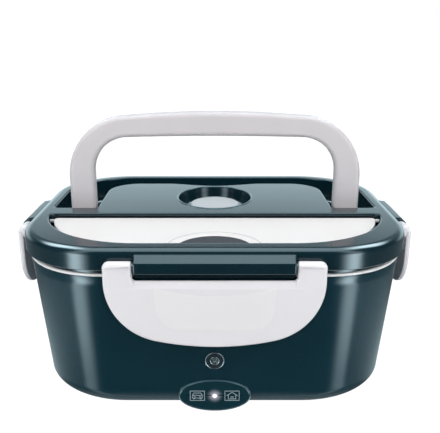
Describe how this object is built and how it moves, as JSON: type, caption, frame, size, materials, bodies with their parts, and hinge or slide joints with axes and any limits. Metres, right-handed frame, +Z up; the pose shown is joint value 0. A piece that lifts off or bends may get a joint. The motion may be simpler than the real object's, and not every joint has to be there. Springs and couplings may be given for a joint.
{
  "type": "electric lunch box",
  "caption": "Portable electric food warmer with a hinged lid, snap clips, a folding carry handle, a cutlery compartment, a steam vent and a lift-out steel container.",
  "frame": {"origin": "on the ground under the middle of the box, handle raised and lid closed", "axes": "+X to the right seen from the front clip, +Y to the rear hinge, +Z up"},
  "size_m": [0.2448, 0.186, 0.1713],
  "materials": {
    "teal_gloss": "glossy dark teal moulded ABS",
    "white_gloss": "glossy off-white moulded plastic",
    "handle_satin": "satin off-white moulded plastic",
    "liner_white": "smooth white food-grade plastic",
    "clear_plastic": "translucent food-grade plastic",
    "stainless": "brushed stainless steel",
    "polished_steel": "polished stainless steel",
    "plated_steel": "zinc plated steel",
    "emblem_metal": "bare satin metal disc",
    "plate_aluminium": "satin aluminium plate",
    "heater_ceramic": "insulating film over ceramic heater",
    "black_plastic": "moulded black plastic",
    "panel_gloss": "polished dark indicator panel",
    "bezel_teal": "lighter teal trim ring",
    "lens_clear": "clear moulded lens",
    "board_green": "printed circuit board",
    "wire_red": "insulated wire",
    "wire_black": "insulated wire",
    "wire_white": "insulated wire",
    "silicone_pale": "pale food-grade silicone",
    "grip_grey": "dark grey moulded plastic",
    "silicone_dark": "dark silicone"
  },
  "bodies": {
    "base": {"outer_housing": "teal_gloss", "inner_liner": "liner_white", "steel_container": "stainless", "fruit_tray": "clear_plastic", "heating_plate": "plate_aluminium", "ptc_heater_left": "heater_ceramic", "ptc_heater_right": "heater_ceramic", "heater_clamp": "plated_steel", "thermostat": "black_plastic", "thermal_fuse": "heater_ceramic", "control_board": "board_green", "indicator_led": "lens_clear", "led_lens": "lens_clear", "control_panel": "panel_gloss", "panel_bezel": "bezel_teal", "emblem_disc": "emblem_metal", "mains_inlet": "black_plastic", "mains_inlet_pins": "plated_steel", "car_inlet": "black_plastic", "car_inlet_pin": "plated_steel", "inlet_frame": "black_plastic", "cover_pin": "plated_steel", "mains_lead": "wire_red", "car_lead": "wire_black", "panel_lead": "wire_white", "rubber_feet": "silicone_dark", "housing_screws": "plated_steel", "rear_bracket": "white_gloss", "bracket_screws": "plated_steel", "rear_hinge_pin": "plated_steel"},
    "lid": {"lid_shell": "teal_gloss", "inner_lid": "liner_white", "lid_seal": "silicone_pale", "lid_screws": "plated_steel", "spoon": "polished_steel", "fork": "polished_steel", "handle_pins": "plated_steel", "front_latch_pin": "plated_steel", "left_latch_pin": "plated_steel", "right_latch_pin": "plated_steel"},
    "cutlery_flap": {"cutlery_cover": "white_gloss", "finger_insert": "grip_grey"},
    "vent": {"vent_plug": "silicone_pale"},
    "handle": {"carry_handle": "handle_satin"},
    "front_clip": {"front_latch": "white_gloss"},
    "left_clip": {"left_latch": "white_gloss"},
    "right_clip": {"right_latch": "white_gloss"},
    "inlet_flap": {"socket_cover": "silicone_dark"}
  },
  "joints": [
    {"name": "lid_hinge", "type": "hinge", "parent": "base", "child": "lid", "pos_m": [0, 0.0892, 0.101], "axis": [-1, 0, 0], "range_deg": [0, 95]},
    {"name": "front_clip_hinge", "type": "hinge", "parent": "lid", "child": "front_clip", "pos_m": [0, -0.0892, 0.101], "axis": [-1, 0, 0], "range_deg": [0, 100]},
    {"name": "left_clip_hinge", "type": "hinge", "parent": "lid", "child": "left_clip", "pos_m": [-0.1182, 0, 0.101], "axis": [0, 1, 0], "range_deg": [0, 100]},
    {"name": "right_clip_hinge", "type": "hinge", "parent": "lid", "child": "right_clip", "pos_m": [0.1182, 0, 0.101], "axis": [0, -1, 0], "range_deg": [0, 100]},
    {"name": "handle_fold", "type": "hinge", "parent": "lid", "child": "handle", "pos_m": [0, 0.004, 0.099], "axis": [-1, 0, 0], "range_deg": [0, 90]},
    {"name": "cutlery_cover_hinge", "type": "hinge", "parent": "lid", "child": "cutlery_flap", "pos_m": [0, -0.0228, 0.1057], "axis": [-1, 0, 0], "range_deg": [0, 85]},
    {"name": "vent_lift", "type": "slide", "parent": "lid", "child": "vent", "axis": [0, 0, 1], "range_m": [0, 0.005]},
    {"name": "inlet_flap_hinge", "type": "hinge", "parent": "base", "child": "inlet_flap", "pos_m": [0, 0.0822, 0.0252], "axis": [1, 0, 0], "range_deg": [0, 100]}
  ]
}
